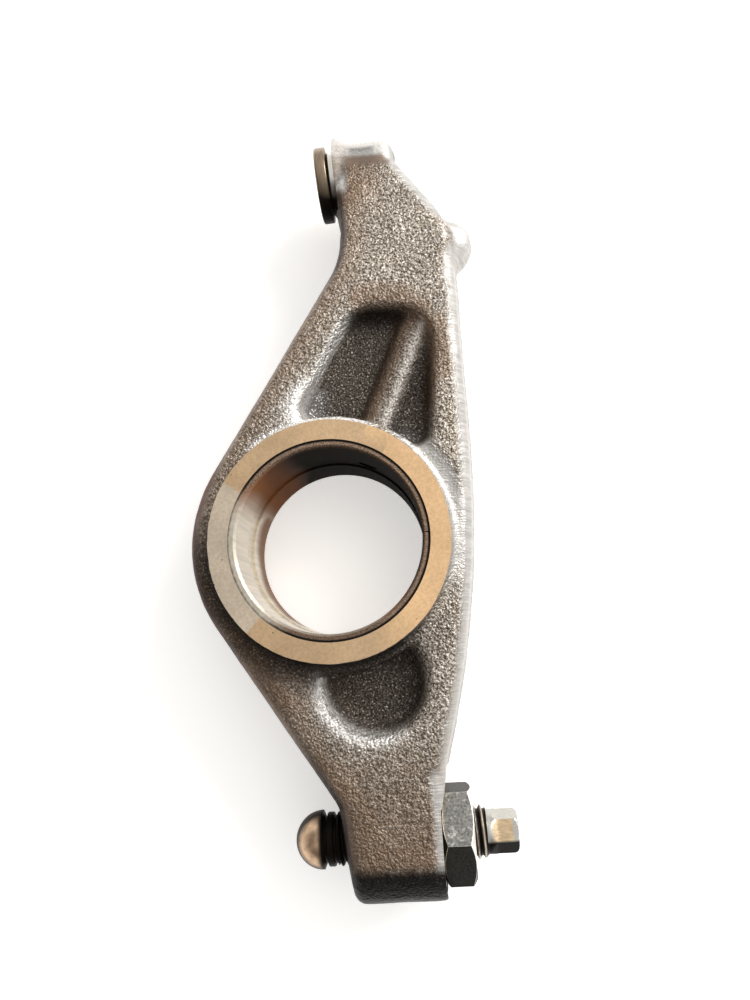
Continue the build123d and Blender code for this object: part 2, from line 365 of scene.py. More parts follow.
def stock_blank(node):
    """A copy of the forging with stock on the faces that get machined."""
    mesh = node.data.copy()
    points = points_of(mesh)
    x, y, z = points.T.copy()
    rho = np.hypot(x, y)
    facing = np.abs(z) > HUB_HALF - 0.1
    z[facing] += np.sign(z[facing]) * FACING_STOCK
    bore = rho < HUB_BORE_RADIUS + HUB_BORE_CHAMFER + 0.1
    shrink = np.where(bore, (HUB_BORE_RADIUS - 0.8) / np.maximum(rho, 1e-6), 1)
    moved = np.stack([x * shrink, y * shrink, z], 1)
    from_seat = moved - np.array(PAD_SEAT)
    pad = (np.abs(from_seat @ np.array(PAD_WAY)) < 0.02) & (np.linalg.norm(from_seat, axis=1) < 14)
    moved[pad] += np.array(PAD_WAY) * FACING_STOCK
    from_screw = np.hypot(moved[:, 1] - SCREW_Y, moved[:, 2])
    seat = (np.abs(moved[:, 0] - NUT_SEAT_X) < 0.02) & (from_screw < NUT_SEAT_RADIUS + 0.2)
    moved[seat, 0] += FACING_STOCK
    set_points(mesh, moved)
    return mesh


def machining_cutters():
    """The solids that a machinist cuts from the forging."""
    top, lip, past = HUB_HALF, HUB_HALF - HUB_LIP_DEPTH, 27
    upper = [(lip, HUB_BORE_RADIUS), (lip, HUB_BORE_LIP), (top, HUB_BORE_LIP), (top, past), (top + 4, past)]
    hub = [(-z, radius) for z, radius in reversed(upper)] + upper
    reach = 12
    widest = NUT_SEAT_RADIUS + reach * tan(NUT_SEAT_CUTTER)
    nut_face = [(NUT_SEAT_X, NUT_SEAT_RADIUS), (NUT_SEAT_X + reach, widest)]
    return [
        turned(hub, (0, 0, 0), (0, 0, 1), 256),
        turned([(0, PAD_SEAT_RADIUS), (4, PAD_SEAT_RADIUS)], PAD_SEAT, PAD_WAY, 32),
        turned(nut_face, (0, SCREW_Y, 0), (1, 0, 0), 128),
        turned([(-14, SCREW_HOLE_RADIUS), (19, SCREW_HOLE_RADIUS)], (0, SCREW_Y, 0), (1, 0, 0), 64),
        turned([(18, 1.5), (80, 1.5)], (0, 0, 0), GALLERY_WAY, 32),
    ]


def from_gallery(points):
    """How far each point lies from the gallery's line."""
    return np.linalg.norm(np.cross(points, np.array(GALLERY_WAY)), axis=1)


def machined_outline():
    """Places on the outline inside a machined face, where the mesh has no points, and how they face."""
    seat = [(NUT_SEAT_X, y) for y in np.arange(-68, -45.4, 0.5)]
    across = Vector((-PAD_WAY.y, PAD_WAY.x, 0))
    pad = [(PAD_SEAT + across * step)[:2] for step in np.arange(-7.5, 7.6, 0.5)]
    return np.array(seat + pad), np.array([(1, 0)] * len(seat) + [PAD_WAY[:2]] * len(pad))


def outline_of(points, normals):
    """How far each point lies inside the forging's outline, and which way the outline faces there."""
    x, y, z = points.T
    from_seat = points - np.array(PAD_SEAT)
    depth = -from_seat @ np.array(PAD_WAY)
    in_pad_hole = (depth > 0.3) & (depth < 9) & (np.hypot(from_seat[:, 1], z) < 4.8)
    beside_screw = np.abs(y - SCREW_Y) < 6.5
    skin = (np.abs(z) < np.where(beside_screw, 9, 3.5)) & (np.abs(normals[:, 2]) < 0.35) & ~in_pad_hole
    skin &= (np.hypot(x, y) > 22) & (np.hypot(y - SCREW_Y, z) > 6) & (from_gallery(points) > 2.2)
    places, ways = machined_outline()
    places = np.concatenate([points[skin, :2], places])
    ways = np.concatenate([normals[skin, :2], ways])
    tree = KDTree(len(places))
    for i, place in enumerate(places):
        tree.insert((*place, 0), i)
    tree.balance()
    inside = np.empty(len(points))
    facing = np.empty((len(points), 2))
    for i in range(len(points)):
        nearest = tree.find((x[i], y[i], 0))
        inside[i] = nearest[2]
        facing[i] = ways[nearest[1]]
    return inside, facing / np.maximum(np.linalg.norm(facing, axis=1), 1e-6)[:, None]


def forge_skin(mesh, settings):
    """Gives the even mesh the waviness, grain and trimmed flash of a forging."""
    points = points_of(mesh)
    normals = normals_of(mesh)
    inside, _ = outline_of(points, normals)
    x, y, z = points.T
    side = fall(np.abs(normals[:, 2]), 0.2, 0.4) * (inside < 0.8) * (np.abs(z) < 9)
    wave = rough(points, 9, 1) * 0.7 + rough(points, 3.5, 2) * 0.3
    grain = rough(points, 1.2, 3)
    flash = side * fall(np.abs(z) + 0.3 * rough(points, 5, 4), 0.8, 1.6)
    flash *= 0.7 + 0.3 * rough(points * [1, 1, 0.2], 0.9, 5)
    pit = nearness(points, PIT, 0.6)
    away = settings.waviness / MM * wave + 0.035 * grain + settings.flash / MM * flash - 0.5 * pit
    clear_of_screw = np.minimum(ramp(np.hypot(y - SCREW_Y, z), 5.2, 6.5) + (x > 22), 1)
    clear_of_gallery = ramp(from_gallery(points), 1.6, 2.4)
    away *= np.minimum(clear_of_screw, clear_of_gallery)
    set_points(mesh, points + normals * away[:, None])


def raise_burr(mesh):
    """Turns up the burr that milling the pad's seat left on the nose."""
    points = points_of(mesh)
    top = np.max(points[np.abs(points[:, 0] - BURR[0]) < 0.8, 1])
    near = nearness(points, (BURR[0], top, BURR[2]), BURR_SIZE)
    set_points(mesh, points + near[:, None] * (-0.25, BURR_SIZE[1], 0.2))


def give_finishes(mesh):
    """Gives each face of the forging its finish."""
    count = len(mesh.polygons)
    centres = np.empty(count * 3, np.float32)
    normals = np.empty(count * 3, np.float32)
    mesh.polygons.foreach_get("center", centres)
    mesh.polygons.foreach_get("normal", normals)
    centres = centres.reshape(-1, 3).astype(float) / MM
    normals = normals.reshape(-1, 3).astype(float)
    x, y, z = centres.T
    rho = np.hypot(x, y)
    from_screw = np.hypot(y - SCREW_Y, z)
    from_seat = centres - np.array(PAD_SEAT)
    seat_cone = NUT_SEAT_RADIUS + (x - NUT_SEAT_X) * tan(NUT_SEAT_CUTTER)
    finish = np.full(count, FORGED, np.int32)
    finish[(np.abs(z) > HUB_HALF - 0.01) & (np.abs(normals[:, 2]) > 0.99)] = GROUND
    finish[(rho < HUB_BORE_RADIUS + 0.05) & (np.abs(z) < HUB_HALF - 0.01)] = OILY_BORE
    finish[(from_screw < SCREW_HOLE_RADIUS + 0.02) & (x < NUT_SEAT_X)] = DRILLED
    on_seat = np.abs(from_seat @ np.array(PAD_WAY)) < 0.01
    on_seat &= np.linalg.norm(from_seat, axis=1) < PAD_SEAT_RADIUS
    finish[on_seat & (np.abs(normals @ np.array(PAD_WAY)) > 0.99)] = MILLED
    finish[(np.abs(x - NUT_SEAT_X) < 0.01) & (normals[:, 0] > 0.99)] = MILLED
    finish[(x > NUT_SEAT_X) & (np.abs(from_screw - seat_cone) < 0.03)] = MILLED
    mesh.polygons.foreach_set("material_index", finish)
    return finish


def crease_finishes(mesh, finish):
    """Smooth faces, with a crisp edge wherever two finishes meet."""
    mesh.shade_smooth()
    edges = np.empty(len(mesh.loops), np.int32)
    mesh.loops.foreach_get("edge_index", edges)
    totals = np.empty(len(mesh.polygons), np.int32)
    mesh.polygons.foreach_get("loop_total", totals)
    of_loop = np.repeat(finish, totals)
    low = np.full(len(mesh.edges), 99, np.int32)
    high = np.full(len(mesh.edges), -1, np.int32)
    np.minimum.at(low, edges, of_loop)
    np.maximum.at(high, edges, of_loop)
    mesh.edges.foreach_set("use_edge_sharp", low != high)


def crease_by_angle(mesh, degrees):
    """Smooth faces, with a crisp edge wherever they meet at more than that angle."""
    mesh.shade_smooth()
    mesh.set_sharp_from_angle(angle=radians(degrees))


def paint_forging(mesh):
    """Keeps on the mesh where the skin is smooth, bright, varnished, brown, dirty or black, and where
    highlights and shade are painted.
    """
    points = points_of(mesh)
    normals = normals_of(mesh)
    inside, facing = outline_of(points, normals)
    x, y, z = points.T
    plan = points[:, :2]
    rho = np.hypot(x, y)
    turn = np.degrees(np.arctan2(y, x))
    down = WEB_HALF - np.abs(z)
    blotch = rough(points, 6, 6)
    fine = rough(points, 1.6, 7)
    edge = inside + 0.3 * blotch + 0.25 * fine
    front = ramp(-facing[:, 0], -0.1, 0.3)
    tilt = np.abs(normals[:, 2])
    flank = fall(tilt, 0.75, 0.95)
    facing_up = ramp(tilt, 0.3, 0.7)
    most = np.maximum.reduce

    # Edges rubbed smooth, with a painted highlight where they face the window at the back
    beside_nut = ramp(-y, 44, 50) * (1 - front)
    low_back = ramp(-y, -4, 16) * (1 - front)
    width = 1.7 - 1.1 * front * fall(-x, 18, 25) - 0.6 * low_back - 0.4 * beside_nut
    nose_top = ramp(y + 0.4 * fine + 0.8 * blotch, 79.6, 81.8)
    on_boss = fall(x + 0.5 * fine, 6.4, 8.2) * ramp(y + 0.5 * fine, 73.4, 75.4)
    from_lug = np.linalg.norm(points - LUG, axis=1)
    on_lug = fall(from_lug + 0.5 * blotch, 5.6, 8.0) * ramp(x, 23.5, 25.5)
    rim = fall(edge, width - 0.4, width + 1.4)
    back_highlight = ramp(facing[:, 0], 0.15, 0.55) * (0.6 + 0.4 * np.maximum(ramp(y, -34, -8), beside_nut))
    # Painted highlight on the boss round the pad, strongest at its corner
    boss_highlight = on_boss * facing_up * (0.25 + 0.75 * nearness(plan, BOSS_HIGHLIGHT, 1.8))

    # Painted highlights at the foot of the hub: on the right and along the upper pocket
    clear_of_ring = ramp(rho, 22, 23)
    hub_foot = ramp(down + 3.4, 0, 1) * clear_of_ring
    right_foot_highlight = hub_foot * fall(rho + 0.6 * fine, 26.5, 29.5)
    right_foot_highlight *= ramp(turn + 4 * blotch, -32, -8) * fall(turn + 4 * blotch, 50, 64)
    top_foot_highlight = hub_foot * fall(rho + 0.4 * fine, 24.8, 26.4)
    top_foot_highlight *= ramp(turn, 62, 74) * fall(turn, 122, 134)

    # Pockets: painted highlights on the walls facing the window, on the lower pocket's rim and on the rib's
    # crest, and dark floors
    in_pocket = ramp(inside, 3.4, 4.6) * clear_of_ring
    sunk = ramp(down, 0.5, 1.6) * in_pocket
    beside_rib = x * GALLERY_WAY.y - y * GALLERY_WAY.x
    on_rib = (np.abs(beside_rib) < 4.6) * ramp(y, 18, 22) * sunk
    towards_window = np.where(y < 0, normals @ (0.75, 0.65, 0), normals @ (0.95, 0.25, 0))
    lit_wall = ramp(towards_window + 0.12 * fine, 0.15, 0.65)
    lit_wall *= ramp(down, -0.15, 0.4) * fall(down + 0.4 * fine, 2.2, 4.6) * in_pocket * (1 - on_rib)
    # A painted highlight in the upper pocket's corners by the hub
    corner = sum(nearness(plan, place, reach) for place, reach in UPPER_POCKET_HIGHLIGHTS) * clear_of_ring
    from_middle = plan - LOWER_POCKET
    from_rim = np.linalg.norm(from_middle, axis=1) - LOWER_POCKET_RADIUS
    crescent_highlight = np.exp(-((from_rim + 0.4 * fine) / 1.4) ** 2)
    crescent_highlight *= ramp(from_middle @ (-0.6, -0.8) / LOWER_POCKET_RADIUS, 0.1, 0.8)
    crescent_highlight *= 1 - 0.3 * ramp(-normals[:, 0], 0.5, 0.9)
    crest_highlight = np.exp(-((beside_rib - 1.3) / 0.9) ** 2) * on_rib
    brown_side = np.exp(-((beside_rib + 1.8) / 1.3) ** 2) * on_rib
    from_far_rim = np.min(np.linalg.norm(plan[:, None] - FAR_RIM, axis=2), axis=1)

    # Smooth skin on the rims, the nose, the boss and the lug, and under the painted highlights at the hub's
    # foot and the upper pocket's corner
    store(mesh, "smooth", most([
        rim, nose_top, on_boss, on_lug, 0.8 * right_foot_highlight, 0.5 * top_foot_highlight, 0.6 * corner,
    ]))
    # Bare trimmed steel on the back rim, lightened there as a painted highlight, and painted highlights on the
    # lug and the hub's foot on the right
    store(mesh, "bright", most([rim * back_highlight, on_lug, 0.7 * right_foot_highlight]))
    # Painted highlights on the lit pocket walls, the hub's foot, the rib's crest, the boss, the upper pocket's
    # corners, the lower pocket's rim, the lug and the nose's top
    store(mesh, "silver", most([
        0.9 * lit_wall, 0.95 * top_foot_highlight, 0.35 * crest_highlight, boss_highlight, 1.4 * corner, 0.95 * crescent_highlight,
        0.2 * on_lug * facing_up, 0.55 * nose_top * ramp(y + 0.4 * blotch, 82.2, 83.6) * facing_up,
    ]))
    # Burnt-oil varnish and painted shade on the rim facing away from the window
    on_front = ramp(-facing[:, 0], 0.05, 0.4) * fall(y, 72, 77)
    store(mesh, "varnish_and_shade", fall(edge, width - 0.6, width + 1.0) * on_front * (0.9 + 0.15 * blotch))

    # Dark patches: the pocket floors; painted shadow and shade under the hub, along the lower left edge, on the
    # nose's end and on the flank away from the window; old oil in the pit and round the screw's end
    # The pocket floors darkened
    on_floor = ramp(down, 0.6, 3.6) * sunk * (1 - 0.9 * lit_wall) * (1 - 0.8 * crest_highlight)
    # Painted shadow of the hub on the web, on its side away from the window
    hub_shadow = ramp(np.cos(np.radians(turn + 118)), 0.1, 0.6) * hub_foot
    root_shadow = hub_shadow * fall(rho + 0.8 * fine + 1.2 * blotch, 25.6, 33) * fall(lit_wall, 0.3, 0.9)
    # Painted shade along the lower left edge, facing away from the window; the web darker towards the screw's
    # end
    low_left_shade = 0.55 * fall(inside + blotch, 0.5, 7.0) * front * ramp(-y + 3 * blotch, -12, 8)
    darker_low_web = np.maximum(low_left_shade, 0.2 * ramp(-y + 2 * blotch, 24, 34))
    darker_low_web *= fall(crescent_highlight, 0.1, 0.5) * (1 - rim)
    # Painted shade on the nose's end faces that do not face up
    nose_end_shade = 0.55 * nose_top * (1 - facing_up) * (0.8 + 0.4 * blotch)
    store(mesh, "dirt_and_shade", most([on_floor * (1 - 0.5 * brown_side), 0.95 * root_shadow, darker_low_web, nose_end_shade]))
    # Black oil round the screw's end and in the pit; painted shadow under the hub; black oil and painted shade
    # on the flank facing away from the window; the far end of the upper pocket's floor darkened
    low_end = ramp(-y + 0.5 * fine, 59.8, 62.4)
    flank_oil_and_shade = np.maximum(0.85 * ramp(-y, 34, 46), 0.8 * ramp(y, 52, 59) * fall(y, 73, 77))
    under_hub_shadow = 0.85 * hub_shadow * fall(rho + 0.6 * fine, 23.6, 26.2)
    far_end = 0.75 * ramp(y + 0.6 * blotch, 43.5, 47.5) * ramp(down, 0.8, 3.0) * sunk
    in_pit = nearness(points, PIT, 0.45)
    store(mesh, "soot_and_shadow", most([low_end, flank_oil_and_shade * flank * front, under_hub_shadow, in_pit, far_end]))

    # Warmer scale at both ends and by the far rim, brown as painted shade beside the hub away from the window
    # and on the walls in shade, and a brown painted reflection under the nose's top
    beside_hub_shade = ramp(np.cos(np.radians(turn + 125)), 0.6, 0.9) * fall(rho + blotch, 30, 37)
    below_boss = ramp(y + 2 * blotch, 66, 77) * fall(x + blotch, 12, 17)
    store(mesh, "brown", sum((
        0.8 * ramp(-y + 3 * blotch, 30, 58),
        0.8 * fall(np.abs(y + 58.8 + 0.4 * fine), 0.4, 2.2),
        0.7 * fall(from_far_rim + 0.6 * blotch, 1.5, 4.2),
        0.5 * beside_hub_shade,
        0.6 * below_boss * (1 - nose_top) * (1 - boss_highlight),
        1.2 * nose_top * fall(y + 0.5 * blotch, 81.8, 83.4),
        0.6 * fall(inside + blotch, 2.5, 8.0) * front,
        brown_side,
        in_pocket * ramp(-normals[:, 0], 0.3, 0.7) * ramp(y, 20, 30),
    )))

    # The milled face's oil, and the ground face, part wiped clean and part warm with oil
    store(mesh, "stain_and_shade", ramp(-y, 58, 63))
    store(mesh, "wiped", ((turn > 148) | (turn < -134)).astype(float))
    store(mesh, "warm", ramp(turn, -75, -45) * (turn < 64.3 - 3.4 * (22.4 - rho)))


def blasted_scale(s):
    """Drop-forged steel after shot blasting: dull grey-brown scale, pitted, with smooth rubbed edges, and the
    painted highlights and shade kept on the mesh.
    """
    material, tree, shader = start_material("Drop-forged steel, shot-blasted")
    place = add_node(tree, "TexCoord", out="Object")
    painted = {
        name: add_node(tree, "Attribute", out="Fac", attribute_name=name)
        for name in ("smooth", "bright", "silver", "varnish_and_shade", "dirt_and_shade", "brown", "soot_and_shadow")
    }
    # Marks of the trimming die run through the thickness, 0.4 mm apart
    across = add_node(tree, "VectorMath", {0: place, 1: (0.08, 1, 0.08)}, operation="MULTIPLY")
    pits, coarse, fine, blotch, marks = (
        add_node(tree, "TexNoise", {"Vector": at, "Scale": 1 / width, "Detail": detail, "Roughness": harsh})
        for at, width, detail, harsh in (
            (place, s.grain, 2.0, 0.55),
            (place, s.grain / 0.4, 1.0, 0.5),
            (place, s.grain / 1.3, 1.0, 0.5),
            (place, 7 * MM, 3.0, 0.5),
            (across, 0.4 * MM, 3.0, 0.5),
        )
    )
    # What each pattern gives: where it starts and ends, and its share at both
    share = {
        name: add_node(tree, "MapRange", {"Value": value, 1: start, 2: end, 3: low, 4: high})
        for name, value, start, end, low, high in (
            ("scale", pits, 0.35, 0.6, 0.0, 1.0),
            # The grain's peaks lean to the highlight colour: painted glints
            ("peak", pits, 0.58, 0.7, 0.0, 0.6),
            ("rubbed", pits, 0.38, 0.58, 0.5, 1.0),
            ("glint", fine, 0.58, 0.66, 0.0, 1.0),
            ("cloud", blotch, 0.35, 0.7, 0.88, 1.1),
            ("marks", marks, 0.3, 0.7, 0.7, 1.12),
            ("brown", painted["brown"], 0.0, 1.0, 0.0, 0.75),
            ("wiped", painted["soot_and_shadow"], 0.0, 1.0, 0.7, 0.1),
            ("gloss", painted["smooth"], 0.0, 1.0, 0.4, 0.44),
        )
    }
    # Old oil and the painted shade spare the peaks of the grain, so the pocket floors sparkle
    peak = add_node(tree, "Math", {0: share["glint"], 1: share["wiped"]}, operation="MULTIPLY")
    oiled, blackened = (add_node(tree, "MapRange", {"Value": peak, 3: full, 4: 0.0}) for full in (0.86, 1.0))
    # The painted highlight, textured by the grain; dirt and soot with their painted shade, held off the bare
    # peaks
    silver, dirt_and_shade, soot_and_shadow, varnish_and_shade, ridges = (
        add_node(tree, "Math", {0: value, 1: part}, operation="MULTIPLY")
        for value, part in (
            (painted["silver"], share["rubbed"]), (painted["dirt_and_shade"], oiled), (painted["soot_and_shadow"], blackened),
            (painted["varnish_and_shade"], 0.6), (marks, 0.25),
        )
    )
    tone = s.pits
    for part, colour in (
        (share["scale"], s.scale), (share["peak"], s.silver),
        (painted["smooth"], s.smooth), (share["brown"], s.brown),
    ):
        tone = add_node(tree, "Mix", {0: part, 6: tone, 7: colour}, 2, data_type="RGBA")
    tone, bare = (
        add_node(tree, "VectorMath", {0: colour, "Scale": part}, operation="SCALE")
        for colour, part in ((tone, share["cloud"]), (s.trimmed[:3], share["marks"]))
    )
    # Over the scale: the bare back rim with its painted highlight, the painted highlights, and the varnish,
    # dirt and black oil with their painted shade
    for part, colour in (
        (painted["bright"], bare), (silver, s.silver), (painted["varnish_and_shade"], s.varnish_and_shade),
        (dirt_and_shade, s.dirt_and_shade), (soot_and_shadow, s.soot_and_shadow),
    ):
        tone = add_node(tree, "Mix", {0: part, 6: tone, 7: colour}, 2, data_type="RGBA")
    # Oil and the painted shade hide the metal and its shine
    oily = painted["dirt_and_shade"]
    for operation, other in (("MAXIMUM", painted["soot_and_shadow"]), ("MAXIMUM", varnish_and_shade), ("MULTIPLY", oiled)):
        oily = add_node(tree, "Math", {0: oily, 1: other}, operation=operation)
    grain = add_node(tree, "Math", {0: pits, 1: coarse}, operation="ADD")
    height = add_node(tree, "Mix", {0: painted["smooth"], 2: grain, 3: ridges}, data_type="FLOAT")
    wire(tree, shader, {
        "Base Color": tone,
        "Roughness": share["gloss"],
        "Metallic": add_node(tree, "MapRange", {"Value": oily, 2: 0.9, 3: 0.85, 4: 0.2}),
        "Specular IOR Level": add_node(tree, "MapRange", {"Value": oily, 2: 0.9, 3: 0.5, 4: 0.08}),
        "Normal": add_node(tree, "Bump", {"Height": height, "Distance": 0.5 * MM}),
    })
    return material


def ground_face(s):
    """Surface-ground steel: straight fine scratches, a warm oil tint and a few nicks."""
    material, tree, shader = start_material("Steel, surface-ground")
    place = add_node(tree, "TexCoord", out="Object")
    lay = add_node(tree, "VectorMath", {0: place, 1: (1, 0.04, 1)}, operation="MULTIPLY")
    scratch, cloud, mottle = (
        add_node(tree, "TexNoise", {"Vector": at, "Scale": 1 / (mm * MM), "Detail": detail, "Roughness": harsh})
        for at, mm, detail, harsh in ((lay, 0.35, 3.0, 0.5), (place, 9, 2.0, 0.5), (place, 0.6, 4.0, 0.7))
    )
    # Nicks and pits 0.1 to 0.3 mm wide, one in about each 4 mm
    nick = add_node(tree, "TexVoronoi", {"Vector": place, "Scale": 1 / (4 * MM)}, "Distance")
    shade = 1.0
    for pattern, start, end, dark, light in (
        (cloud, 0.3, 0.7, 0.86, 1.06), (mottle, 0.3, 0.7, 0.84, 1.12), (nick, 0.02, 0.06, 0.25, 1.0),
    ):
        part = add_node(tree, "MapRange", {"Value": pattern, 1: start, 2: end, 3: dark, 4: light})
        shade = add_node(tree, "Math", {0: shade, 1: part}, operation="MULTIPLY")
    tone = s.ground
    for name, colour in (("warm", s.ground_warm), ("wiped", s.ground_pale)):
        part = add_node(tree, "Attribute", out="Fac", attribute_name=name)
        tone = add_node(tree, "Mix", {0: part, 6: tone, 7: colour}, 2, data_type="RGBA")
    wire(tree, shader, {
        "Base Color": add_node(tree, "VectorMath", {0: tone, "Scale": shade}, operation="SCALE"),
        "Roughness": add_node(tree, "MapRange", {"Value": scratch, 1: 0.3, 2: 0.7, 3: 0.3, 4: 0.42}),
        "Metallic": 1.0,
        "Normal": add_node(tree, "Bump", {"Height": scratch, "Distance": 0.01 * MM}),
    })
    return material


def plain_metal(
    name, colour, roughness, grain_mm, depth_mm, stretch=(1, 1, 1), stain_and_shade=None, contrast=0.15, worn=None,
    metallic=1.0, shine=0.5,
):
    """A metal whose tone and gloss follow its fine tool marks, with old oil and painted shade where they are
    painted.
    """
    material, tree, shader = start_material(name)
    place = add_node(tree, "TexCoord", out="Object")
    lay = add_node(tree, "VectorMath", {0: place, 1: stretch}, operation="MULTIPLY")
    marks = add_node(tree, "TexNoise", {"Vector": lay, "Scale": 1 / (grain_mm * MM), "Detail": 3.0})
    shade, gloss = (
        add_node(tree, "MapRange", {"Value": marks, 1: 0.3, 2: 0.7, 3: low, 4: high})
        for low, high in ((1 - contrast, 1 + contrast), (roughness * 0.85, roughness * 1.15))
    )
    tone = add_node(tree, "VectorMath", {0: colour[:3], "Scale": shade}, operation="SCALE")
    if worn is not None:
        # Patches about 1.2 mm wide, where handling has worn the finish through
        patches = {"Vector": place, "Scale": 1 / (1.2 * MM), "Detail": 4.0, "Roughness": 0.65}
        patch = add_node(tree, "TexNoise", patches)
        patch = add_node(tree, "MapRange", {"Value": patch, 1: 0.54, 2: 0.74})
        tone = add_node(tree, "Mix", {0: patch, 6: tone, 7: worn}, 2, data_type="RGBA")
    # Old oil, and on the pad and the screw also painted shade
    if stain_and_shade is not None:
        oily = add_node(tree, "Attribute", out="Fac", attribute_name="stain_and_shade")
        tone = add_node(tree, "Mix", {0: oily, 6: tone, 7: stain_and_shade}, 2, data_type="RGBA")
        metallic, shine = (
            add_node(tree, "MapRange", {"Value": oily, 3: clean, 4: dull})
            for clean, dull in ((metallic, 0.1), (shine, 0.03))
        )
    wire(tree, shader, {
        "Base Color": tone,
        "Roughness": gloss,
        "Metallic": metallic,
        "Specular IOR Level": shine,
        "Normal": add_node(tree, "Bump", {"Height": marks, "Distance": depth_mm * MM}),
    })
    return material


class ROCKER_OT_forging(bpy.types.Operator):
    """Remeshes the forging evenly, gives it a forged skin and machines it again"""

    bl_idname = "rocker.forging"
    bl_label = "Forging"

    def execute(self, context):
        settings = context.scene.rocker_forging
        piece = place_piece("forged_arm", stock_blank(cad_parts["rocker_arm"]), "arm")
        even = piece.modifiers.new("even", "REMESH")
        even.mode = "VOXEL"
        even.voxel_size = settings.mesh_size
        soft = piece.modifiers.new("soft", "SMOOTH")
        soft.factor = 0.5
        soft.iterations = 4
        piece.data = applied(piece)
        piece.modifiers.clear()
        forge_skin(piece.data, settings)
        cut_away(piece, machining_cutters())
        mesh = piece.data
        mesh.materials.clear()
        for material in (
            blasted_scale(settings),
            ground_face(settings),
            plain_metal("Steel, bored and drilled", settings.ground, 0.35, 0.3, 0.01, (0.05, 0.05, 1)),
            plain_metal("Steel, milled", settings.ground_pale, 0.32, 0.35, 0.015, (1, 0.1, 1), settings.soot_and_shadow),
            plain_metal("Steel, bored and black with oil", context.scene.rocker_bush.gap, 0.5, 0.4, 0.03),
        ):
            mesh.materials.append(material)
        finish = give_finishes(mesh)
        raise_burr(mesh)
        crease_finishes(mesh, finish)
        paint_forging(mesh)
        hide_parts("rocker_arm")
        return {"FINISHED"}


# Bush


def ring_solid(loop, origin, along, sides):
    """Points and faces of a ring turned about a line, from a loop of (distance along it, radius)."""
    points, faces = turned(loop + loop[:1], origin, along, sides)
    inner = len(loop) * sides
    faces = [[v % inner for v in face] for face in faces[1:-1]]
    return points[:inner], faces


def paint_bush(mesh):
    """Keeps on the mesh where the bore is browned and blackened, by old oil and as painted shade and
    reflection, where its lit left side stays light, and where its end is dull.
    """
    points = points_of(mesh)
    x, y, z = points.T
    rho = np.hypot(x, y)
    turn = np.degrees(np.arctan2(y, x))
    cloud = rough(points * [1, 1, 0.3], 5, 11)
    speck = rough(points, 0.7, 12)
    end = ramp(np.abs(z), 13.3, 13.5)
    # The bore's left side faces the window: its wall and end stay light there as a painted highlight; the
    # sectors round it are browned and blackened as painted shade and reflection with old oil
    lit_left = np.maximum(ramp(turn + 6 * cloud, 138, 156), fall(turn + 6 * cloud, -134, -112))
    oiled = fall(turn + 5 * cloud, 140, 166) * ramp(turn + 6 * cloud, -70, -50)
    burnt_and_shade = fall(turn + 8 * cloud, 108, 140) * ramp(turn + 6 * cloud, -60, -20)
    low_edge = 0.8 * lit_left * ramp(-z + 2 * cloud, 3, 10)
    store(mesh, "oiled", np.maximum(oiled, low_edge))
    store(mesh, "burnt_and_shade", burnt_and_shade)
    store(mesh, "end", end * (1 - 0.85 * lit_left))
    store(mesh, "gap", ramp(rho + 0.12 * speck - 0.2 * lit_left, 18.98, 19.15) * (1 - 0.3 * lit_left))


def burnished_bronze(s):
    """Bearing metal, burnished by the shaft: bright along the bore, brown where oil has baked on it and where
    shade and reflection are painted in.
    """
    material, tree, shader = start_material("Bearing metal, burnished")
    place = add_node(tree, "TexCoord", out="Object")
    oiled, burnt_and_shade, end, gap = (
        add_node(tree, "Attribute", out="Fac", attribute_name=name)
        for name in ("oiled", "burnt_and_shade", "end", "gap")
    )
    lay = add_node(tree, "VectorMath", {0: place, 1: (1, 1, 0.03)}, operation="MULTIPLY")
    streaks = add_node(tree, "TexNoise", {"Vector": lay, "Scale": 1 / (0.8 * MM), "Detail": 3.0})
    grit = add_node(tree, "TexNoise", {"Vector": place, "Scale": 1 / (0.3 * MM), "Detail": 2.0})
    streaky, gritty = (
        add_node(tree, "MapRange", {"Value": pattern, 1: start, 2: stop, 3: dark, 4: light})
        for pattern, start, stop, dark, light in ((streaks, 0.3, 0.7, 0.8, 1.1), (grit, 0.35, 0.65, 0.45, 1.25))
    )
    tone, turned_end = (
        add_node(tree, "VectorMath", {0: colour[:3], "Scale": shade}, operation="SCALE")
        for colour, shade in ((s.bore, streaky), (s.ends, gritty))
    )
    for part, colour in ((oiled, s.oiled), (burnt_and_shade, s.burnt_and_shade), (end, turned_end), (gap, s.gap)):
        tone = add_node(tree, "Mix", {0: part, 6: tone, 7: colour}, 2, data_type="RGBA")
    height = add_node(tree, "Math", {0: grit, 1: end}, operation="MULTIPLY")
    dull = add_node(tree, "Math", {0: oiled, 1: 0.85}, operation="MULTIPLY")
    for other in (burnt_and_shade, gap):
        dull = add_node(tree, "Math", {0: dull, 1: other}, operation="MAXIMUM")
    matt = add_node(tree, "Math", {0: end, 1: dull}, operation="MAXIMUM")
    wire(tree, shader, {
        "Base Color": tone,
        "Roughness": add_node(tree, "MapRange", {"Value": matt, 3: 0.28, 4: 0.8}),
        "Metallic": add_node(tree, "MapRange", {"Value": dull, 3: 1.0, 4: 0.05}),
        "Specular IOR Level": add_node(tree, "MapRange", {"Value": dull, 3: 0.5, 4: 0.08}),
        "Normal": add_node(tree, "Bump", {"Height": height, "Distance": 0.1 * MM}),
    })
    return material


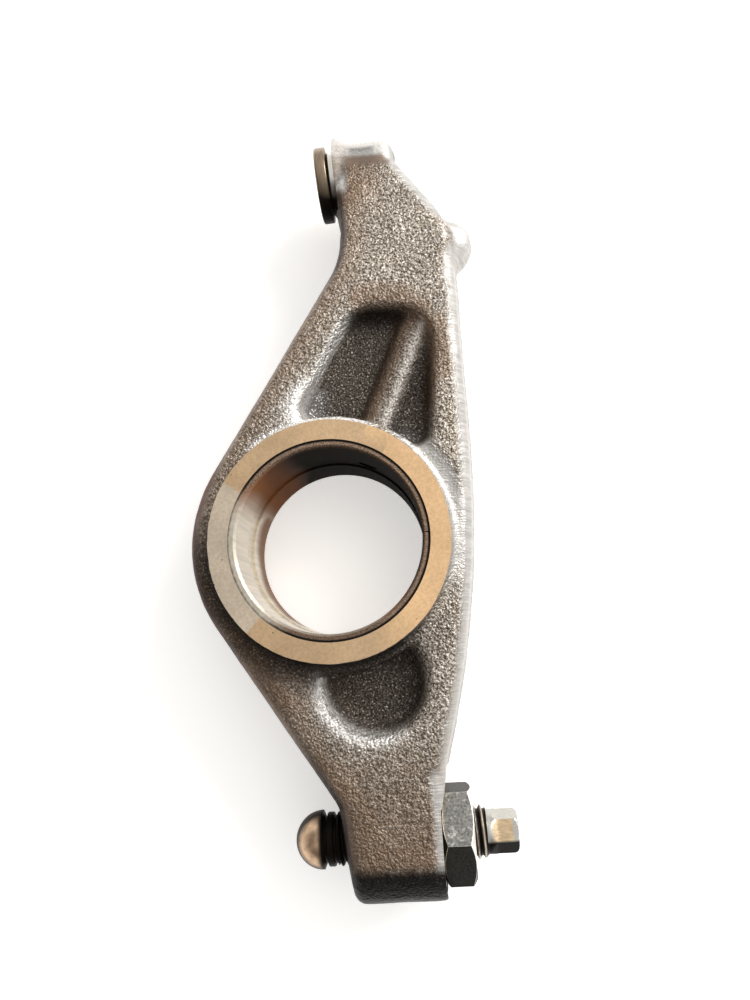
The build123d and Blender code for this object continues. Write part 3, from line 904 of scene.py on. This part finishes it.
class ROCKER_OT_bush(bpy.types.Operator):
    """Turns the wrapped bush, with its groove, joint and oil hole"""

    bl_idname = "rocker.bush"
    bl_label = "Bush"

    def execute(self, context):
        settings = context.scene.rocker_bush
        half, inner, outer, chamfer = 13.85, 18.0, 20.0, 0.5
        groove = [(z, inner + 0.4) for z in (-3.0, 3.0)]
        wall = [(z, inner) for z in np.linspace(3.0, half - chamfer, 12)]
        wall += [(half, radius) for radius in (inner + chamfer, 18.95, 19.2, 19.3, outer - 0.3)]
        outside = [(z, outer) for z in np.linspace(half - 0.3, 0.3 - half, 6)]
        loop = groove + wall + outside + [(-z, radius) for z, radius in reversed(wall)]
        mesh = mesh_from("wrapped_bush", *ring_solid(loop, (0, 0, 0), (0, 0, 1), 288))
        piece = place_piece("wrapped_bush", mesh, "arm")
        joint = [(x, y, z) for x in (15, 23) for y in (-0.1, 0.1) for z in (-15, 15)]
        box_faces = [[0, 1, 3, 2], [4, 6, 7, 5], [0, 4, 5, 1], [2, 3, 7, 6], [0, 2, 6, 4], [1, 5, 7, 3]]
        cut_away(piece, [(joint, box_faces), turned([(15, 2.0), (23, 2.0)], (0, 0, 0), GALLERY_WAY, 48)])
        piece.data.materials.clear()
        piece.data.materials.append(burnished_bronze(settings))
        crease_by_angle(piece.data, 28)
        paint_bush(piece.data)
        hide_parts("shaft_bush")
        return {"FINISHED"}


# Pad


class ROCKER_OT_pad(bpy.types.Operator):
    """Turns the hardened pad in the nose"""

    bl_idname = "rocker.pad"
    bl_label = "Pad"

    def execute(self, context):
        settings = context.scene.rocker_pad
        head, collar, groove = 8.1, 7.1, 6.6
        profile = [
            (-0.5, 3.0), (-0.5, 5.0), (-0.45, collar - 0.6), (0, collar - 0.15), (0.15, collar),
            (1.05, collar), (1.2, collar - 0.15), (1.22, groove), (1.58, groove),
            (1.6, head - 0.25), (1.68, head - 0.08), (1.85, head), (2.6, head), (3.6, head),
            (3.8, head - 0.05), (3.98, head - 0.2), (4.07, head - 0.45), (4.1, head - 0.9),
            (4.12, 4.0), (4.12, 0.5),
        ]
        mesh = mesh_from("hardened_pad", *turned(profile, PAD_SEAT, PAD_WAY, 160))
        piece = place_piece("hardened_pad", mesh, "arm")
        # The turned collar is lighter than the head, partly a painted highlight
        for name, colour, roughness, depth in (
            ("Tool steel, hardened and ground", settings.steel, 0.3, 0.008),
            ("Tool steel, turned bright", settings.collar, 0.28, 0.01),
        ):
            mesh.materials.append(plain_metal(name, colour, roughness, 0.3, depth, (1, 0.1, 0.1), settings.oil))
        for face in mesh.polygons:
            on_collar = (face.center / MM - PAD_SEAT).dot(PAD_WAY) < 1.2
            face.material_index = int(on_collar)
        crease_by_angle(mesh, 40)
        # Darker towards the bottom of the pad as painted shade; black oil in its groove and where the collar
        # meets the nose
        from_seat = points_of(mesh) - np.array(PAD_SEAT)
        height = from_seat[:, 1] + 1.5 * rough(points_of(mesh), 3, 13)
        out = from_seat @ np.array(PAD_WAY)
        radius = np.linalg.norm(from_seat - out[:, None] * np.array(PAD_WAY), axis=1)
        in_groove = (radius < groove + 0.1) & (out > 1.1) & (out < 1.7) | (out < 0.05)
        store(mesh, "stain_and_shade", np.maximum(fall(height, -6.5, -2.5), in_groove))
        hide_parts("valve_pad")
        return {"FINISHED"}


# Adjusting screw and nut


def hexagon_radius(width, turn, corner):
    """Radius, at that turn, of a hexagon of that width across its flats, with a corner at that turn."""
    return width / 2 / cos((turn - corner) % (pi / 3) - pi / 6)


def screw_radius(x, turn, pitch):
    """Radius of the adjusting screw at that place along it and that turn, with its thread."""
    if x <= BALL_X:
        return max(BALL_RADIUS ** 2 - (x - BALL_X) ** 2, 0.04) ** 0.5
    if x < THREAD_START:
        return float(np.interp(x, *zip((BALL_X, BALL_RADIUS), *NECK)))
    if x <= THREAD_END:
        phase = (x / pitch - turn / (2 * pi)) % 1
        depth = 0.61 * pitch * np.interp(phase, [0.06, 0.375, 0.625, 0.94], [0, 1, 1, 0])
        runout = THREAD_RADIUS - depth * ramp(x, THREAD_START, -2.2)
        return float(min(runout, 4.2 + (THREAD_END - x), 4.4 + (x - THREAD_START) * 2))
    end = 3.1 + (1 - (max(x - DRIVE_ROUNDING, 0) / 1.1) ** 2) ** 0.5
    return min(end, hexagon_radius(7.0, turn, DRIVE_TURN) + max(DRIVE_START - x, 0) * 0.5)


class ROCKER_OT_screw(bpy.types.Operator):
    """Turns the ball, cuts the thread and mills the drive hexagon of the adjusting screw"""

    bl_idname = "rocker.screw"
    bl_label = "Adjusting screw"

    def execute(self, context):
        settings = context.scene.rocker_screw
        pitch = settings.pitch / MM
        ball = [BALL_X - BALL_RADIUS * cos(a) for a in np.linspace(0.03, pi / 2, 28)]
        neck = [-5.3] + [x for x, _ in NECK]
        thread = list(np.arange(THREAD_START, THREAD_END, pitch / 14)) + [THREAD_END]
        shoulder = [26.2, 26.5, 26.8, 27.1, 27.4, 27.6, 27.8, DRIVE_START]
        drive = [28.5, 29.5, 30.5, DRIVE_ROUNDING, 31.2, 31.5, 31.7, 31.85, 31.95, 31.99]
        sides = 96
        stations = ball + neck + thread + shoulder + drive
        points = []
        for x in stations:
            for i in range(sides):
                turn = DRIVE_TURN + 2 * pi * i / sides
                radius = screw_radius(x, turn, pitch)
                points.append((x, SCREW_Y + radius * cos(turn), radius * sin(turn)))
        mesh = mesh_from("threaded_screw", points, tube_faces(len(stations), sides))
        piece = place_piece("threaded_screw", mesh, "screw")
        on_thread, on_ball, on_drive, on_shoulder, on_warm_reflecting_flat = range(5)
        for name, colour, roughness, grain, depth, stretch, contrast in (
            ("Steel, hardened and oiled", settings.thread, 0.34, 0.3, 0.01, (1, 1, 1), 0.15),
            ("Steel, burnished and heat-tinted", settings.ball, 0.38, 1.6, 0.03, (1, 1, 1), 0.35),
            ("Steel, milled bright", settings.drive, 0.26, 0.3, 0.002, (0.3, 1, 1), 0.08),
            ("Steel, turned bright", settings.drive, 0.3, 0.25, 0.004, (1, 0.05, 0.05), 0.12),
            ("Steel, milled, painted warm reflection", settings.tint, 0.34, 0.3, 0.004, (0.3, 1, 1), 0.2),
        ):
            made = plain_metal(name, colour, roughness, grain, depth, stretch, settings.oil, contrast)
            mesh.materials.append(made)
        for face in mesh.polygons:
            x = face.center.x / MM
            # The flat facing up gets the painted warm reflection
            tinted = face.normal.z > 0.85 and x < 31
            face.material_index = (
                on_ball if x < -5.5 else on_thread if x < THREAD_END
                else on_shoulder if x < 27.0 else on_warm_reflecting_flat if tinted else on_drive
            )
        crease_by_angle(mesh, 32)
        x, y, z = points_of(mesh).T
        radius = np.hypot(y - SCREW_Y, z)
        in_root = np.maximum(fall(radius, 4.5, 4.9), x < 10) * (x > -5.2) * (x < 26)
        # Painted shade on the flats under the drive hexagon and round the ball's rim; black oil in the thread's
        # roots and along the thread by the ball
        under = ramp(SCREW_Y - 1.0 - y, 0, 0.4) * (x > 26)
        ball_rim_shade = np.maximum(ramp(x, -6.6, -5.6), 0.95 * ramp(4.2 - z, 0, 2.0)) * (x < -5.2)
        store(mesh, "stain_and_shade", np.maximum.reduce([in_root, under, ball_rim_shade]))
        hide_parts("adjusting_screw")
        return {"FINISHED"}


class ROCKER_OT_nut(bpy.types.Operator):
    """Cuts the lock nut from hexagon bar, chamfers it and wears its edges"""

    bl_idname = "rocker.nut"
    bl_label = "Lock nut"

    def execute(self, context):
        settings = context.scene.rocker_nut
        low, high = NUT_SEAT_X + 0.02, NUT_SEAT_X + NUT_HEIGHT
        corner = NUT_WIDTH / 3 ** 0.5
        bar = turned([(low, corner), (high, corner)], (0, SCREW_Y, 0), (1, 0, 0), 6, NUT_TURN)
        piece = place_piece("worn_nut", mesh_from("worn_nut", *bar), "nut")
        # The chamfer of 30 degrees at both ends, from a round face 0.2 mm inside the flats, past the corners
        face = NUT_WIDTH / 2 - 0.2
        drop = (corner - face) * tan(radians(30)) + 0.6
        chamfer = [(drop, corner + 1.04), (0, face), (-1, face), (-1, corner + 3), (drop, corner + 3)]
        top = [(high - down, radius) for down, radius in chamfer]
        bottom = [(low + up, radius) for up, radius in reversed(chamfer)]
        hole, mouth = SCREW_HOLE_RADIUS, SCREW_HOLE_RADIUS + 1.7
        bore = [(low - 1, mouth), (low + 0.7, hole), (high - 0.7, hole), (high + 1, mouth)]
        rings = [ring_solid(loop, (0, SCREW_Y, 0), (1, 0, 0), 192) for loop in (top, bottom)]
        cut_away(piece, rings + [turned(bore, (0, SCREW_Y, 0), (1, 0, 0), 96)])
        piece.data.materials.clear()
        rubbed, bare, black = range(3)
        for name, colour, roughness, grain, others in (
            ("Steel, black oxide, rubbed", settings.rubbed, 0.34, 0.45, dict(contrast=0.4, worn=settings.worn)),
            ("Steel, worn bare", settings.worn, 0.32, 0.3, {}),
            ("Steel, black oxide", settings.oxide, 0.45, 0.45, dict(contrast=0.7, metallic=0.15, shine=0.15)),
        ):
            piece.data.materials.append(plain_metal(name, colour, roughness, grain, 0.02, **others))
        # Facets by the way they face: the bottom, the top and the end away from the window stay black oxide as
        # painted shade; the others are rubbed, the lit chamfer bare
        for face in piece.data.polygons:
            along, across, up = face.normal
            lit_chamfer = 0.3 < along < 0.97 and across > -0.3
            shaded_facet = across < -0.3 or across > 0.8 or along < -0.3
            face.material_index = bare if lit_chamfer else black if shaded_facet else rubbed
        bevel = piece.modifiers.new("worn edges", "BEVEL")
        bevel.width = settings.edge
        bevel.segments = 2
        bevel.limit_method = "ANGLE"
        bevel.angle_limit = radians(24)
        bevel.material = bare
        crease_by_angle(piece.data, 24)
        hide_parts("lock_nut")
        return {"FINISHED"}


# Stage


def area_light(name, place, target, size, power):
    """A soft square light that faces the target. Places are in millimetres."""
    light = bpy.data.lights.new(name, "AREA")
    light.size = size * MM
    light.energy = power
    lamp = bpy.data.objects.new(name, light)
    bpy.context.scene.collection.objects.link(lamp)
    lamp.location = Vector(place) * MM
    lamp.rotation_euler = (Vector(place) - Vector(target)).to_track_quat("Z", "Y").to_euler()


def floor_material(s):
    """Matt painted board: white to the eye and in reflections, and it keeps the shadow."""
    material, tree, shader = start_material("Painted board, matt")
    seen = seen_or_mirrored(tree)
    wire(tree, shader, {
        "Base Color": s.floor,
        "Roughness": 0.9,
        "Emission Color": s.floor,
        "Emission Strength": add_node(tree, "Math", {0: seen, 1: 0.55}, operation="MULTIPLY"),
    })
    return material


def room_light(s):
    """A room whose light falls off from the window's side to a warm dark side."""
    world = bpy.data.worlds.new("Room")
    world.use_nodes = True
    tree = world.node_tree
    way = add_node(tree, "TexCoord", out="Generated")
    window_side = Vector((0.75, 0.5, 0.45)).normalized()
    along = add_node(tree, "VectorMath", {0: way, 1: window_side}, "Value", operation="DOT_PRODUCT")
    near = add_node(tree, "MapRange", {"Value": along, 1: -0.45, 2: 0.45}, interpolation_type="SMOOTHSTEP")
    power = add_node(tree, "MapRange", {"Value": along, 1: -0.45, 2: 1.0, 3: 0.35, 4: 1.25})
    # A white backdrop stands round the floor: it is seen and mirrored, and lights nothing
    height = add_node(tree, "SeparateXYZ", {0: way}, "Z")
    low = add_node(tree, "MapRange", {"Value": height, 1: 0.3, 2: 0.45, 3: 1.0, 4: 0.0})
    backdrop = add_node(tree, "Math", {0: seen_or_mirrored(tree), 1: low}, operation="MULTIPLY")
    tone = s.shade
    for part in (near, backdrop):
        tone = add_node(tree, "Mix", {0: part, 6: tone, 7: (1, 1, 1, 1)}, 2, data_type="RGBA")
    wire(tree, tree.nodes["Background"], {
        "Color": tone,
        "Strength": add_node(tree, "Mix", {0: backdrop, 2: power, 3: 1.0}, data_type="FLOAT"),
    })
    return world


class ROCKER_OT_stage(bpy.types.Operator):
    """Adds the floor, the lights and the camera"""

    bl_idname = "rocker.stage"
    bl_label = "Stage"

    def execute(self, context):
        scene = context.scene
        settings = scene.rocker_stage
        reach = 3000
        corners = [(x * reach, y * reach, FLOOR_Z) for x, y in ((-1, -1), (1, -1), (1, 1), (-1, 1))]
        floor = bpy.data.objects.new("floor", mesh_from("floor", corners, [[0, 1, 2, 3]]))
        floor.data.materials.append(floor_material(settings))
        scene.collection.objects.link(floor)
        area_light("window", (430, 330, 330), (0, 0, 0), settings.key_size / MM, settings.key_power)
        scene.world = room_light(settings)
        scene.view_settings.view_transform = "Standard"
        # The lens, place and turn that fit both rims of the bore, the hub's face and the screw
        lens = bpy.data.cameras.new("camera")
        lens.sensor_fit = "VERTICAL"
        lens.sensor_height = 36
        lens.lens = 29.96
        lens.clip_start = 0.01
        camera = bpy.data.objects.new("camera", lens)
        scene.collection.objects.link(camera)
        camera.location = Vector((19.84, -21.56, 170.41)) * MM
        seen = Euler((radians(-10.27), radians(-3.74), radians(4.3)), "XYZ").to_matrix()
        camera.rotation_euler = seen.transposed().to_euler()
        scene.camera = camera
        return {"FINISHED"}


class ROCKER_PT_panel(bpy.types.Panel):
    """Lists the pieces of the rocker arm"""

    bl_idname = "ROCKER_PT_panel"
    bl_label = "Rocker arm"
    bl_space_type = "VIEW_3D"
    bl_region_type = "UI"
    bl_category = "Rocker arm"

    def draw(self, context):
        for group, operator in PIECES:
            box = self.layout.box()
            box.operator(operator)
            settings = getattr(context.scene, group)
            for name in settings.__annotations__:
                box.prop(settings, name)


PIECES = (
    ("rocker_forging", "rocker.forging"),
    ("rocker_bush", "rocker.bush"),
    ("rocker_pad", "rocker.pad"),
    ("rocker_screw", "rocker.screw"),
    ("rocker_nut", "rocker.nut"),
    ("rocker_stage", "rocker.stage"),
)
GROUPS = (ForgingSettings, BushSettings, PadSettings, ScrewSettings, NutSettings, StageSettings)
OPERATORS = (
    ROCKER_OT_forging, ROCKER_OT_bush, ROCKER_OT_pad, ROCKER_OT_screw, ROCKER_OT_nut, ROCKER_OT_stage,
)


def register():
    """Adds the settings, the operators and the panel."""
    for group in GROUPS:
        bpy.utils.register_class(group)
    for (name, _), group in zip(PIECES, GROUPS):
        setattr(bpy.types.Scene, name, bpy.props.PointerProperty(type=group))
    for operator in OPERATORS:
        bpy.utils.register_class(operator)
    bpy.utils.register_class(ROCKER_PT_panel)


def unregister():
    """Takes them away again."""
    bpy.utils.unregister_class(ROCKER_PT_panel)
    for operator in reversed(OPERATORS):
        bpy.utils.unregister_class(operator)
    for name, _ in PIECES:
        delattr(bpy.types.Scene, name)
    for group in reversed(GROUPS):
        bpy.utils.unregister_class(group)


def main():
    """Makes every piece and the stage."""
    register()
    for _, operator in PIECES:
        group, name = operator.split(".")
        getattr(getattr(bpy.ops, group), name)()


if __name__ == "__main__":
    main()
